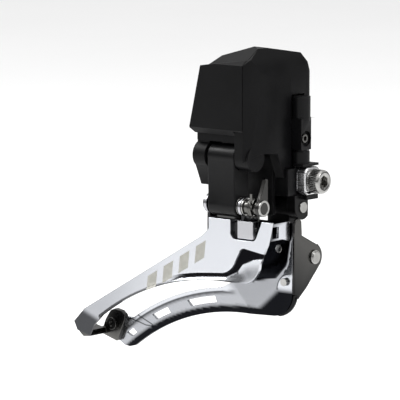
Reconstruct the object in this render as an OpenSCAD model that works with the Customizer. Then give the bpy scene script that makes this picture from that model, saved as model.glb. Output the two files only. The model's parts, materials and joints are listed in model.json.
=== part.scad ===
// Motorised braze-on front derailleur for a double chainring.
// Axes: +X forward, +Y inboard (towards the frame), +Z up.
// Origin: on the clamp bolt's axis, at the seat that meets the frame's hanger.
// Every pivot runs along X, so a cross-section point is written [y, z].

/* [Linkage] */
// Distance between the two pivots of each swing link
link_len = 17; // [15:0.5:19]
// Height of the outer link's upper pivot
outer_pivot_z = 9.2; // [8.8:0.1:9.6]
// Sideways place of the outer link's upper pivot
outer_pivot_y = -22; // [-22.2:0.1:-21.8]
// Height of the inner link's upper pivot
inner_pivot_z = -9.4; // [-9.8:0.1:-9]
// Sideways place of the inner link's upper pivot
inner_pivot_y = -1.5; // [-1.8:0.1:-1.2]
// Radius of the pivot pins
pin_r = 2; // [1.8:0.05:2.1]
// Radial play of a turning fit
play = 0.05; // [0.02:0.01:0.08]
// Radial gap between pieces that are fixed to each other
seat_gap = 0.02; // [0.01:0.01:0.03]

/* [Housing] */
// Wall thickness of the two housing shells
wall = 1.2; // [1:0.1:1.4]
// Outboard face of the housing
housing_out_y = -27.5; // [-27.8:0.1:-27.2]
// Inboard face of the housing
housing_in_y = 7.5; // [7:0.1:8]
// Parting plane between the front shell and the motor cover
seam_x = -5; // [-5.2:0.1:-4.9]
// Underside of the motor cover
cover_floor_z = 17; // [16.8:0.1:17.2]

/* [Cage] */
// Radius of the outer plate's lower edge, about the chainring centre
outer_edge_r = 98.6; // [98:0.1:99]
// Radius of the inner plate's lower edge
inner_edge_r = 85.7; // [85:0.1:86]
// Radius of the inner plate's upper edge
inner_top_r = 94.5; // [94:0.1:95]
// Thickness of the cage's sheet metal
sheet = 1.2; // [1:0.1:1.4]
// Inner face of the outer plate
outer_plate_y = -23.4; // [-23.6:0.1:-23.2]
// Outboard face of the inner plate
inner_plate_y = -12.6; // [-12.8:0.1:-12.4]

/* [Gears] */
// Gear module
gear_m = 0.5; // [0.5:0.1:0.5]
// Teeth of both pinions
pinion_z = 10; // [10:1:10]
// Teeth of the reduction wheel
wheel_z = 26; // [26:1:26]
// Teeth on the full circle of the output sector
sector_z = 36; // [36:1:36]

/* [Hidden] */

$fn = 64;
eps = 0.01;
far = 60;
// Width of an arm's web as a share of its round ends
web_share = 0.96;

black = [0.07, 0.07, 0.08];
dark_metal = [0.25, 0.25, 0.27];
steel = [0.72, 0.73, 0.75];
polished = [0.82, 0.84, 0.88];
brass = [0.75, 0.6, 0.3];

outer_top = [outer_pivot_y, outer_pivot_z];
inner_top = [inner_pivot_y, inner_pivot_z];
outer_low = outer_top - [0, link_len];
inner_low = inner_top - [0, link_len];

// ---------------------------------------------------------------- helpers

// Turns a shape drawn in [y, z] into a solid from x0 to x1
module along_x(x0, x1) {
    translate([x0, 0, 0]) rotate([90, 0, 90]) linear_extrude(x1 - x0) children();
}

// Turns a shape drawn in [x, z] into a solid from y0 to y1
module along_y(y0, y1) {
    translate([0, y1, 0]) rotate([90, 0, 0]) linear_extrude(y1 - y0) children();
}

module rod_x(at, r, x0, x1, sides = 64) {
    translate([x0, at[0], at[1]]) rotate([0, 90, 0]) cylinder(r = r, h = x1 - x0, $fn = sides);
}

module tube_x(at, r_out, r_in, x0, x1) {
    difference() {
        rod_x(at, r_out, x0, x1);
        rod_x(at, r_in, x0 - 1, x1 + 1);
    }
}

module rod_y(at, r, y0, y1, sides = 64) {
    translate([at[0], y1, at[1]]) rotate([90, 0, 0]) cylinder(r = r, h = y1 - y0, $fn = sides);
}

module box(low, high) {
    translate(low) cube(high - low);
}

// Arm with round ends of radius ra at a and rb at b, joined by a slightly slimmer web
module arm_x(a, b, ra, rb, x) {
    along = (b - a) / norm(b - a);
    across = web_share * [-along[1], along[0]];
    rod_x(a, ra, x[0], x[1]);
    rod_x(b, rb, x[0], x[1]);
    along_x(x[0], x[1]) polygon([a + ra * across, b + rb * across, b - rb * across, a - ra * across]);
}

// Points of an arc, angles in degrees from the first axis
function arc(centre, r, a0, a1, steps) =
    [for (i = [0:steps]) centre + r * [cos(a0 + (a1 - a0) * i / steps), sin(a0 + (a1 - a0) * i / steps)]];

// ---------------------------------------------------------------- gears

pressure = 25;
addendum = 0.8 * gear_m;
dedendum = 1.2 * gear_m;
backlash = 0.06;

function involute(a) = tan(a) * 180 / PI - a;
function flank_angle(z, r) =
    let (rp = z * gear_m / 2, rb = rp * cos(pressure), rr = max(r, rb))
    90 / z - backlash / rp * 90 / PI + involute(pressure) - involute(acos(rb / rr));
function tooth(z, phase, steps = 4) =
    let (rp = z * gear_m / 2, root = rp - dedendum, tip = rp + addendum)
    concat(
        [for (i = [0:steps]) let (r = root + (tip - root) * i / steps)
            r * [cos(phase - flank_angle(z, r)), sin(phase - flank_angle(z, r))]],
        [for (i = [steps:-1:0]) let (r = root + (tip - root) * i / steps)
            r * [cos(phase + flank_angle(z, r)), sin(phase + flank_angle(z, r))]]
    );
function gear_outline(z, phase) =
    [for (k = [0:z - 1]) each tooth(z, phase + 360 * k / z)];

// First-tooth angle of a gear that meshes with another whose phase is known
function mesh_phase(z_known, phase_known, direction, z_new) =
    let (turn = (direction - phase_known) * z_known / 360)
    direction + 180 + (turn - floor(turn) - 0.5) * 360 / z_new;

sector_to_wheel = 60;
wheel_to_motor = 75;
pinion_pitch_r = pinion_z * gear_m / 2;
wheel_pitch_r = wheel_z * gear_m / 2;
sector_pitch_r = sector_z * gear_m / 2;
wheel_at = outer_top + (sector_pitch_r + pinion_pitch_r) * [cos(sector_to_wheel), sin(sector_to_wheel)];
motor_at = wheel_at + (wheel_pitch_r + pinion_pitch_r) * [cos(wheel_to_motor), sin(wheel_to_motor)];
sector_phase = 70;
wheel_pinion_phase = mesh_phase(sector_z, sector_phase, sector_to_wheel, pinion_z);
wheel_phase = 0;
motor_phase = mesh_phase(wheel_z, wheel_phase, wheel_to_motor, pinion_z);
sector_x = [-8.5, -6.6];
wheel_x = [-5.9, -4.4];
axle_r = 1;

// ---------------------------------------------------------------- housing

rear_low_x = -29;
rear_high_x = -24;
front_x = -1;

// Plan outline in [x, y], moved inwards by t
function plan_outline(t) = [
    [rear_low_x + t, housing_out_y + t], [seam_x, housing_out_y + t],
    [-1.5 - t, -20.6 + 0.5 * t], [front_x - t, -13], [front_x - 0.8 - t, -4.8],
    [front_x - 1.2 - t, 4.5], [-3.2 - t, housing_in_y - t],
    [-26 + t, housing_in_y - t], [rear_low_x + t, 4 - t]
];

// Side outline in [x, z]
function side_outline(t) = [
    [rear_low_x + 1.5 + t, cover_floor_z - 20], [rear_low_x + 1.5 + t, cover_floor_z],
    [rear_low_x + t, 18.6], [rear_high_x + t, 40.6 - t], [-21 + t, 43.7 - t],
    [-8, 47.5 - t], [-5, 46.8 - t], [front_x - t, 37.5], [front_x - t, cover_floor_z - 20]
];

// Front outline in [y, z]
function front_outline(t) = [
    [housing_out_y + t, -5], [housing_out_y + t, 41.6 - t], [-25.6 + t, 43 - t],
    [-18, 47.6 - t], [3.2 - t, 44.2 - t], [housing_in_y - t, 37.6 - t], [housing_in_y - t, -5]
];

// Everything below the slanting shoulder that runs down and back from the housing's highest point
module below_shoulder(t) {
    translate([seam_x, -18, 47.6 - t]) rotate([32.9, -11, 0]) translate([-far, -far, -2 * far]) cube(2 * far);
}

// Everything below the flat roof of the outboard block
module below_block_roof(t) {
    along_y(-far, -14) polygon([[-far, 35.8 - t], [0, 44 - t], [0, -far], [-far, -far]]);
}

module housing_form(t) {
    intersection() {
        linear_extrude(far) polygon(plan_outline(t));
        along_y(-far, far) polygon(side_outline(t));
        along_x(-far, far) polygon(front_outline(t));
        union() {
            below_shoulder(t);
            below_block_roof(t);
        }
    }
}

// Underside of the front shell in [y, z]
front_floor = [
    [-28, 8], [-20.6, 10.9], [-13, 10.2], [-9.2, 1.4], [-8.7, 1.4], [-8.7, 4.7], [8, 4.7],
    [8, 60], [-28, 60]
];
inner_floor = [
    [-28, 9.2], [-20.6, 12.1], [-12.6, 11.4], [-10.6, 6.4], [-6.2, 6.4], [-6.2, 60], [-28, 60]
];
pan_rear_x = -9.3;
pan_top_z = 18.6;
pan_r = 4.6;
channel_x = -3.9;
channel_top_z = 30;
cover_screw_at = [[4.6, 39], [4.6, 23.6], [-24.4, 25], [-24.4, 36]];
cover_screw_r = 1.1;
screw_head_x = -23;
screw_end_x = -4.4;
post_r = 2;
sweep_r = 9.8;

// Space that the output sector sweeps, in [y, z]
module sector_space() {
    translate(outer_top) circle(3.2);
    polygon(concat([outer_top], arc(outer_top, sweep_r, 10, 112, 12)));
}

module gear_pan() {
    along_x(pan_rear_x, seam_x) {
        translate(outer_top) circle(pan_r);
        polygon([
            outer_top + [-pan_r, 0], outer_top + [pan_r, 0], [-11, 11],
            [-10.4, pan_top_z], outer_top + [-pan_r, pan_top_z - outer_pivot_z]
        ]);
    }
    rod_x(outer_top, pan_r, seam_x - 1, -3.4);
}

module main_housing() color(black) difference() {
    union() {
        intersection() {
            housing_form(0);
            along_x(seam_x, far) polygon(front_floor);
        }
        gear_pan();
    }
    difference() {
        intersection() {
            housing_form(wall);
            along_x(seam_x - 1, far) polygon(inner_floor);
        }
        for (at = cover_screw_at) rod_x(at, post_r, -far, far);
        rod_x(wheel_at, post_r, -4, far);
        rod_x(outer_top, pan_r, -6.3, far);
    }
    intersection() {
        along_x(pan_rear_x + 0.6, -6.3) sector_space();
        box([-far, housing_out_y + wall, 0], [far, far, far]);
    }
    rod_x(outer_top, pin_r + 1 + seat_gap, pan_rear_x - 1, -4.2);
    rod_x(wheel_at, 3.4, pan_rear_x + 0.6, seam_x - 0.9);
    rod_x(wheel_at, axle_r + seat_gap, pan_rear_x - 1, -2.6);
    for (at = cover_screw_at) rod_x(at, cover_screw_r + seat_gap, -far, screw_end_x + 0.2);
    box([channel_x, -4.4, -far], [far, 3, channel_top_z]);
    for (z = bracket_screw_z) rod_x([-1, z], cover_screw_r + seat_gap, -far, far);
}

// Underside of the rim that hangs over the outer link
under_z = 14.4;
leg_x = [-28, -22.6];
leg_r = 4.8;
socket_at = [-20, 2];
socket_r = 4;

module motor_cover() color(black) difference() {
    union() {
        intersection() {
            housing_form(0);
            box([-far, -far, cover_floor_z], [seam_x - 0.2, far, far]);
        }
        box([-27.3, -25, under_z], [-9.6, -10, cover_floor_z + eps]);
        box([leg_x[0], -12, 8], [-9.6, -10, cover_floor_z + eps]);
        arm_x(outer_top, [-21.5, -0.8], leg_r, 0.8, leg_x);
        along_x(leg_x[0], leg_x[1]) translate(outer_top) polygon([[-2, 0], [leg_r, 0], [leg_r, 9], [-2, 9]]);
    }
    difference() {
        intersection() {
            housing_form(wall);
            box([-far, -far, cover_floor_z + wall], [far, far, far]);
        }
        for (at = cover_screw_at) rod_x(at, post_r, -far, far);
    }
    box([pan_rear_x - 0.1, -far, 0], [far, -9, pan_top_z + 0.1]);
    along_x(-far, seam_x) polygon([[-28, 19.2], [-27.4, 19], [-25.8, 16.9], [-28, 16.9]]);
    for (at = cover_screw_at) {
        rod_x(at, cover_screw_r + seat_gap, -far, 0);
        rod_x(at, post_r - 0.2, -far, screw_head_x);
    }
    translate([socket_at[0], socket_at[1], 0]) cylinder(r = socket_r - 1 + seat_gap, h = 20);
    rod_x(outer_top, pin_r + 1 + seat_gap, leg_x[0] + 1.4, 0);
}

module cover_gasket() color([0.2, 0.2, 0.2]) difference() {
    intersection() {
        housing_form(0.3);
        box([seam_x - 0.2, -far, pan_top_z + 0.1], [seam_x, far, far]);
    }
    difference() {
        housing_form(wall);
        for (at = cover_screw_at) rod_x(at, post_r, -far, far);
    }
    for (at = cover_screw_at) rod_x(at, cover_screw_r + seat_gap, -far, 0);
}

module cover_screws() color(steel) for (at = cover_screw_at) difference() {
    union() {
        rod_x(at, cover_screw_r, screw_head_x, screw_end_x);
        rod_x(at, post_r - 0.25, screw_head_x - 1.4, screw_head_x);
    }
    rod_x(at, 0.7, screw_head_x - 2, screw_head_x - 0.5, 6);
}

module motor_can() color(steel) difference() {
    union() {
        rod_x(motor_at, 8, -23.5, -10);
        rod_x(motor_at, 3, -24.2, -23.5);
    }
    rod_x(motor_at, axle_r + play, -far, 0);
}

module gear_plate() color(steel) difference() {
    along_x(-9.95, -9.35) {
        translate(motor_at) circle(7.6);
        polygon([[-21, pan_top_z + 0.3], [-11.5, pan_top_z + 0.3], motor_at + [7, 0], motor_at - [7, 0]]);
    }
    rod_x(motor_at, axle_r + 0.4, -far, 0);
    rod_x(wheel_at, axle_r + seat_gap, -far, 0);
}

module wheel_axle() color(steel) rod_x(wheel_at, axle_r, -9.95, -2.7);

board_y = [0.6, 1.6];

// The board with a chip on each side
module circuit_board() color([0.08, 0.3, 0.16]) {
    along_y(board_y[0], board_y[1]) polygon([[-21, 20], [-8, 20], [-8, 41], [-19.5, 41], [-21, 36]]);
    box([-18, board_y[0] - 1.2, 29], [-12, board_y[0] + eps, 35]);
    box([-17, board_y[1] - eps, 28], [-13, board_y[1] + 0.8, 32]);
}

socket_low_z = 14.2;
port_r = 1.6;

module cable_socket() color([0.12, 0.12, 0.13]) translate([socket_at[0], socket_at[1], 0]) difference() {
    union() {
        translate([0, 0, socket_low_z]) cylinder(r = socket_r, h = cover_floor_z - seat_gap - socket_low_z);
        translate([0, 0, socket_low_z]) cylinder(r = socket_r - 1, h = 5.4);
    }
    translate([0, 0, socket_low_z - 1]) cylinder(r = port_r, h = 5.6);
}

module shaft_bushes() color(brass) {
    tube_x(outer_top, pin_r + 1, pin_r + play, leg_x[0] + 1.5, leg_x[1]);
    tube_x(outer_top, pin_r + 1, pin_r + play, pan_rear_x, pan_rear_x + 0.6);
    tube_x(outer_top, pin_r + 1, pin_r + play, -6.2, -4.3);
}

// ---------------------------------------------------------------- frame mount

seat_low = [-7.5, -8.5, -5];
seat_high = [0, 4.6, 4.5];
block_y = [-9.5, 4.6];
block_top_z = 12;
skirt_z = -12;
column_at = [-0.4, -0.9];
column_r = 3.3;
collar_z = [10.8, 21.9];
support_at = [-1.5, 14.8];
support_r = 1.5;
bracket_screw_z = [7.4, 26.4];
front_boss_x = [-2.6, 1];
rear_boss_x = [-16.6, -13.2];
skirt_x = [-23.2, -6];
boss_r = 4.4;
lip_z = 5.1;
bolt_r = 2.5;

module pivot_boss(x) {
    intersection() {
        along_x(x[0], x[1]) {
            translate(inner_top) circle(boss_r);
            translate([inner_top[0] - boss_r, inner_top[1]]) square([2 * boss_r, seat_low[2] + eps - inner_top[1]]);
        }
        box([-far, -far, -far], [far, inner_pivot_y + 3, far]);
    }
}

module column() {
    translate([column_at[0], column_at[1], lip_z]) cylinder(r = column_r - 0.2, h = 5.1);
    translate([column_at[0], column_at[1], 9]) cylinder(r = column_r - 0.8, h = 2);
    translate([column_at[0], column_at[1], collar_z[1] - 1]) cylinder(r = column_r, h = 8.6);
    intersection() {
        box([-3.7, -4.2, collar_z[0]], [2.4, 2.4, collar_z[1]]);
        translate([-2.2, -1.6, 0]) cylinder(r = 5.4, h = far);
    }
}

module mount_bracket() color(black) difference() {
    union() {
        box(seat_low, seat_high);
        box([rear_boss_x[0], block_y[0], -5], [seat_low[0] + eps, block_y[1], block_top_z]);
        box([skirt_x[0], block_y[0], skirt_z], [skirt_x[1], block_y[0] + 1.5, block_top_z]);
        pivot_boss(front_boss_x);
        pivot_boss(rear_boss_x);
        box([-1, -4.4, lip_z], [3.4, 4.4, lip_z + 0.9]);
        box([-1, -4.4, seat_high[2] - eps], [0, 4.4, lip_z + 0.5]);
        box([-1, -2, -lip_z - 1.6], [3.2, 4.4, -lip_z]);
        box([-1, -2, -lip_z - 1.6], [0, 4.4, seat_low[2] + eps]);
        column();
    }
    rod_x([0, 0], bolt_r + play, -far, far);
    rod_x(inner_top, pin_r + seat_gap, -far, far);
    rod_x(support_at, support_r + play, -far, far);
    rod_x(support_at, 2.7, 1.2, far);
    for (z = bracket_screw_z) rod_x([-1, z], cover_screw_r + seat_gap, -far, 1.4);
}

module bracket_screws() color(steel) for (z = bracket_screw_z) difference() {
    union() {
        rod_x([-1, z], cover_screw_r, -7, 1);
        rod_x([-1, z], 1.9, -7, -5.2);
    }
    rod_x([-1, z], 0.7, -8, -6, 6);
}

module inner_upper_pin() color(steel) {
    rod_x(inner_top, pin_r, rear_boss_x[0] - 0.2, front_boss_x[1] + 0.5);
    rod_x(inner_top, pin_r + 0.6, rear_boss_x[0] - 0.8, rear_boss_x[0]);
}

washer_x = 4.3;
head_x = 9.4;

module clamp_bolt() color(steel) difference() {
    union() {
        rod_x([0, 0], bolt_r, -7, washer_x + eps);
        rod_x([0, 0], 4.25, washer_x, head_x - 0.6);
        translate([head_x - 0.6, 0, 0]) rotate([0, 90, 0]) cylinder(r1 = 4.25, r2 = 3.7, h = 0.6);
    }
    rod_x([0, 0], 2.3, head_x - 3, head_x + 1, 6);
}

module radius_washer() color(steel) difference() {
    intersection() {
        box([seat_gap, -4.3, -4.8], [washer_x - seat_gap, 4.3, 4.8]);
        rod_x([0, 0], 5.5, 0, washer_x);
    }
    rod_x([0, 0], bolt_r + play, -1, washer_x + 1);
    translate([-15.5, 0, -10]) cylinder(r = 16.4, h = 20);
}

module support_bolt() color(steel) difference() {
    rod_x(support_at, support_r, -3.2, 2);
    rod_x(support_at, 0.9, 0.6, 3, 6);
}

// ---------------------------------------------------------------- drive

module motor_shaft() color(steel) rod_x(motor_at, axle_r, -23.9, wheel_x[1]);

module motor_pinion() color(brass) difference() {
    along_x(wheel_x[0], wheel_x[1]) translate(motor_at) polygon(gear_outline(pinion_z, motor_phase));
    rod_x(motor_at, axle_r + seat_gap, -far, 0);
}

module reduction_wheel() color(brass) difference() {
    along_x(wheel_x[0], wheel_x[1]) translate(wheel_at) polygon(gear_outline(wheel_z, wheel_phase));
    rod_x(wheel_at, axle_r + play, -far, 0);
}

module reduction_pinion() color(steel) difference() {
    along_x(sector_x[0] - 0.2, wheel_x[0])
        translate(wheel_at) polygon(gear_outline(pinion_z, wheel_pinion_phase));
    rod_x(wheel_at, axle_r + play, -far, 0);
}

module output_shaft() color(steel) rod_x(outer_top, pin_r, leg_x[0] + 1.7, -4.4);

module output_sector() color(brass) difference() {
    along_x(sector_x[0], sector_x[1]) {
        translate(outer_top) circle(2.9);
        intersection() {
            translate(outer_top) polygon(gear_outline(sector_z, sector_phase));
            polygon(concat([outer_top], arc(outer_top, 12, 44, 96, 6)));
        }
    }
    rod_x(outer_top, pin_r + seat_gap, -far, 0);
}

// ---------------------------------------------------------------- links

outer_link_x = [-21.8, -9.8];
inner_link_x = [-12.8, -3];
inner_foot_x = [-12.8, 4.2];
inner_web_y = [inner_pivot_y - 2.6, inner_pivot_y + 2.6];
bush_wall = 0.8;
bush_len = 3.2;
flange = 0.35;

module outer_link() color(black) difference() {
    arm_x(outer_top, outer_low, 4.4, 4, outer_link_x);
    rod_x(outer_top, pin_r + seat_gap, -far, far);
    rod_x(outer_low, pin_r + bush_wall + seat_gap, -far, far);
}

module flanged_bushes(at, x, r_in) {
    tube_x(at, pin_r + bush_wall, r_in, x[0], x[0] + bush_len);
    tube_x(at, pin_r + bush_wall, r_in, x[1] - bush_len, x[1]);
    tube_x(at, pin_r + bush_wall + 0.5, r_in, x[0] - flange, x[0]);
    tube_x(at, pin_r + bush_wall + 0.5, r_in, x[1], x[1] + flange);
}

module outer_link_bushes() color(brass) flanged_bushes(outer_low, outer_link_x, pin_r + play);

module inner_link() color(dark_metal) difference() {
    union() {
        rod_x(inner_top, 3.8, inner_link_x[0], inner_link_x[1]);
        rod_x(inner_low, 3.6, inner_foot_x[0], inner_foot_x[1]);
        box([inner_link_x[0], inner_web_y[0], inner_low[1]], [inner_link_x[1], inner_web_y[1], inner_top[1]]);
    }
    rod_x(inner_top, pin_r + bush_wall + seat_gap, -far, far);
    rod_x(inner_low, pin_r + bush_wall + seat_gap, -far, far);
}

module inner_link_bushes() color(brass) {
    tube_x(inner_top, pin_r + bush_wall, pin_r + play, inner_link_x[0], inner_link_x[0] + bush_len);
    tube_x(inner_top, pin_r + bush_wall, pin_r + play, inner_link_x[1] - bush_len, inner_link_x[1]);
    flanged_bushes(inner_low, inner_foot_x, pin_r + 2 * play);
}

// ---------------------------------------------------------------- cage

ring_centre = [-15, -133];
plate_y0 = outer_plate_y - 0.8;
flat_y0 = outer_plate_y - 1.4;
lip_y0 = outer_plate_y - 1.8;

// Outline of the outer plate in [x, z], with its lower edge at radius r
function outer_outline(r) = concat(
    [[-22.4, -12.5], [-12.6, -12.5], [-12.6, -16.2]],
    arc([-10, -16.6], 2.6, 180, 270, 6),
    arc([-3.4, -16.6], 2.6, 270, 340, 6),
    [[1.4, -12], [5.6, -12], [4.7, -16.1], [3.7, -20], [1.2, -25.3]],
    arc([-6.8, -27], 7.2, 0, -75, 6),
    arc(ring_centre, r, 88, 125.6, 18),
    [[-76.6, -57], [-78.8, -61], [-84.8, -59.6], [-86.2, -56.4], [-80.9, -51.3], [-25.4, -19.3]],
    [[-22.4, -16.4]]
);

// Outline of the proud flat area of the outer plate in [x, z]
flat_outline = concat(
    [[-22.4, -12.5], [-12.6, -12.5], [-12.6, -16.2]],
    arc([-10, -16.6], 2.6, 180, 270, 6),
    arc([-3.4, -16.6], 2.6, 270, 340, 6),
    [[1.4, -12], [5.6, -12], [4.7, -16.1], [3.7, -20], [2, -23.2]],
    arc([-7.4, -24.8], 2, 80, 170, 5),
    arc([-17.4, -24.6], 7, -20, -80, 6),
    arc(ring_centre, outer_edge_r + 2.6, 95, 124.5, 14),
    [[-78, -54.4], [-80.9, -51.3], [-25.4, -19.3], [-22.4, -16.4]]
);

bracket_y1 = outer_plate_y + seat_gap;
bracket_rivet_at = [[-20.4, -15.6], [-16.3, -15.6]];
front_rivet_at = [1.6, -14.6];
inner_rivet_at = [[-11, -17], [0.8, -17]];
bracket_side_rivets = [[-0.6, -22.8], [1.6, -34.4]];
tail_at = [-75.6, -57.4];
rivet_r = 0.9;
rivet_head_r = 1.4;
stud_y0 = outer_plate_y - 0.9;
bridge_x = [-14.6, -13.4];
front_bridge_x = [3, 4.2];
front_tab_x = 0.2;
front_foot_x = -1;

module outer_plate() color(polished) difference() {
    union() {
        along_y(plate_y0, outer_plate_y) polygon(outer_outline(outer_edge_r));
        along_y(flat_y0, plate_y0 + eps) polygon(flat_outline);
        along_y(lip_y0, plate_y0 + eps) polygon(concat(
            arc(ring_centre, outer_edge_r, 88, 122, 16),
            arc(ring_centre, outer_edge_r + 1.1, 122, 88, 16)
        ));
    }
    for (at = concat(bracket_rivet_at, [front_rivet_at])) rod_y(at, rivet_r + seat_gap, stud_y0 - seat_gap, 0);
}

// Windows of the inner plate: start angle, end angle
windows = [[98.8, 107.4], [113.2, 118.6], [125, 127.6]];

module inner_plate() color(polished) difference() {
    along_y(inner_plate_y, inner_plate_y + sheet) polygon(concat(
        [[-17, -13.6], [4.6, -13.6]],
        arc([-4, -38.4], 8.6, 0, -85, 8),
        arc(ring_centre, inner_edge_r, 89, 125.6, 20),
        [[-67, -64.8], [-69.6, -65.5], [-72.2, -65.2], [-74.8, -63.6]],
        [[-80.6, -61.6], [-80.4, -58], [-77.6, -53.4], [-73.4, -54.8]],
        arc(ring_centre, inner_top_r, 124, 97, 14),
        [[-20, -36], [-17, -30]]
    ));
    for (w = windows) along_y(-far, 0) polygon(concat(
        arc(ring_centre, 89.2, w[0], w[1] - 0.8, 5),
        arc(ring_centre, 91.6, w[1], w[0] + 0.4, 5)
    ));
    box([bridge_x[0] - 0.1, -far, -20.2], [bridge_x[1] + 0.1, far, 0]);
    for (at = concat(inner_rivet_at, bracket_side_rivets, [tail_at])) rod_y(at, rivet_r + seat_gap, -far, 0);
}

ear_x = [[-24.2, -22.9], [-8.9, -7.7]];
ear_r = 3.5;
bracket_leg = outer_pivot_y - outer_plate_y - seat_gap;
bracket_top_z = -12.6;
notch_tab_x = [-10.1, -3.2];

// A back plate with a tab in the outer plate's notch, a top flange and two ears that carry the pin
module cage_bracket() color(dark_metal) difference() {
    union() {
        box([ear_x[0][0], bracket_y1, -20.4], [notch_tab_x[1] - 1, bracket_y1 + sheet, bracket_top_z]);
        box([notch_tab_x[0], bracket_y1 - 0.6, -18.8], [notch_tab_x[1], bracket_y1 + sheet, bracket_top_z]);
        box([ear_x[0][0], bracket_y1, bracket_top_z - 1], [ear_x[1][1], -17.4, bracket_top_z + 0.3]);
        for (x = ear_x) along_x(x[0], x[1]) {
            translate(outer_low) circle(ear_r);
            polygon([
                outer_low + [-bracket_leg, 0], outer_low + [ear_r, 0],
                [-19.4, bracket_top_z], [-20.6, -18], [bracket_y1, -20.4], [bracket_y1, bracket_top_z]
            ]);
        }
    }
    rod_x(outer_low, pin_r + seat_gap, -far, far);
    for (at = bracket_rivet_at) rod_y(at, rivet_r + seat_gap, -far, 0);
}

// A web with a window, and a tab at each end of it
module front_bridge() color(polished) difference() {
    union() {
        along_x(front_bridge_x[0], front_bridge_x[1]) polygon([
            [outer_plate_y + seat_gap, -12.8], [inner_plate_y - seat_gap, -12.8],
            [inner_plate_y - seat_gap, -19.8], [-16, -18.9], [outer_plate_y + seat_gap, -18.9]
        ]);
        box([front_tab_x, outer_plate_y + seat_gap, -16.6], [front_bridge_x[1], outer_plate_y + sheet, -12.8]);
        box([front_foot_x, inner_plate_y - sheet, -19.4], [front_bridge_x[1], inner_plate_y - seat_gap, -13.8]);
    }
    box([front_bridge_x[0] - 1, outer_plate_y + sheet, -17.9], [far, -18.6, -14]);
    rod_y(front_rivet_at, rivet_r + seat_gap, -far, 0);
    rod_y(inner_rivet_at[1], rivet_r + seat_gap, -far, 0);
}

module rear_bridge() color(polished) difference() {
    union() {
        along_x(bridge_x[0], bridge_x[1]) {
            polygon([
                [bracket_y1 + sheet + seat_gap, -13.7], [-8, -13.8], [-2, -22],
                inner_low + [3.4, 0], inner_low + [-3.4, 0], [-10.6, -20],
                [bracket_y1 + sheet + seat_gap, -20]
            ]);
            translate(inner_low) circle(3.4);
        }
        box([bridge_x[0], inner_plate_y - sheet, -19.4], [-9, inner_plate_y - seat_gap, -14.2]);
    }
    rod_x(inner_low, pin_r + seat_gap, -far, far);
    rod_y(inner_rivet_at[0], rivet_r + seat_gap, -far, 0);
}

flange_x = [5, 6.2];

module front_bracket() color(dark_metal) difference() {
    union() {
        along_x(flange_x[0], flange_x[1]) {
            translate(inner_low) circle(4.6);
            polygon([
                [-12.4, -17.8], [-8, -18.2], inner_low + [2.6, 3.8], inner_low + [3.8, -2.6],
                [0.4, -31], [-5.8, -37], [-10, -40.2], [-12.4, -38.4]
            ]);
            polygon([[-12.6, -18.4], [-12.6, -14], [-11.6, -12.3], [-9.8, -11.8], [-8.6, -13], [-8.2, -18.4]]);
        }
        along_y(inner_plate_y + sheet + seat_gap, inner_plate_y + 2 * sheet) polygon(concat(
            [[-2.6, -20], [flange_x[1], -20]],
            arc([flange_x[1] - 9.2, -38], 9.2, 0, -80, 8),
            [[-4.6, -46.4], [-2.6, -36]]
        ));
    }
    rod_x(inner_low, pin_r + seat_gap, -far, far);
    for (at = bracket_side_rivets) rod_y(at, rivet_r + seat_gap, -far, 0);
}

module outer_lower_pin() color(steel) {
    rod_x(outer_low, pin_r, -24.9, lever_x[1] + 0.6);
    rod_x(outer_low, pin_r + 0.7, -25.1, -24.3);
}

module inner_lower_pin() color(steel) {
    rod_x(inner_low, pin_r, bridge_x[0] - 0.6, 7.4);
    rod_x(inner_low, pin_r + 0.6, bridge_x[0] - 0.9, bridge_x[0] - seat_gap);
    rod_x(inner_low, pin_r + 0.5, flange_x[1] + seat_gap, 7);
}

module pin_washers() color(steel) {
    tube_x(outer_low, 3.2, pin_r + seat_gap, ear_x[1][1] + 0.1, ear_x[1][1] + 0.6);
    tube_x(outer_low, 2.9, pin_r + seat_gap, lever_x[1] + 0.1, lever_x[1] + 0.5);
}

coil_x = -4.8;
wire_r = 0.45;
coil_r = 3.2;
turns = 3;

module saver_spring() color(steel) {
    for (i = [0:turns - 1]) translate([coil_x + i * 2 * wire_r, outer_low[0], outer_low[1]])
        rotate([0, 90, 0]) rotate_extrude() translate([coil_r, 0]) circle(wire_r + 0.02, $fn = 24);
    translate([coil_x, outer_low[0] + coil_r, outer_low[1] - 5.5]) cylinder(r = wire_r, h = 5.5, $fn = 24);
    translate([coil_x + (turns - 1) * 2 * wire_r, outer_low[0] + coil_r, outer_low[1]])
        cylinder(r = wire_r, h = 8, $fn = 24);
}

module spring_bush() color(dark_metal) tube_x(outer_low, 2.6, pin_r + seat_gap, -7, lever_x[0] - 0.1);

lever_x = [-1.7, -0.2];
lever_tip = outer_low + [2, 9.4];

module saver_lever() color(dark_metal) difference() {
    arm_x(outer_low, lever_tip, 2.9, 0.8, lever_x);
    rod_x(outer_low, pin_r + seat_gap, -far, far);
}

tail_plate_y = [-14.6, inner_plate_y - seat_gap];

// The plate against the inner plate's tail and the bar that reaches across to the outer plate
module tail_bracket() color(steel) difference() {
    union() {
        along_y(tail_plate_y[0], tail_plate_y[1]) polygon([
            [-70.2, -55.4], [-73.6, -63], [-74.2, -63.8], [-81.3, -61.8], [-81.4, -60.6],
            [-79.6, -56.2], [-77.2, -52.8], [-74.9, -51.9], [-72, -52.4], [-70.2, -53.8]
        ]);
        along_y(outer_plate_y + seat_gap, tail_plate_y[0] + eps) polygon(
            [[-84.4, -58.4], [-79.6, -59.4], [-79, -61.4], [-82.6, -61.8], [-84.6, -60.2]]
        );
    }
    rod_y(tail_at, rivet_r + seat_gap, -far, 0);
}

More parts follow.
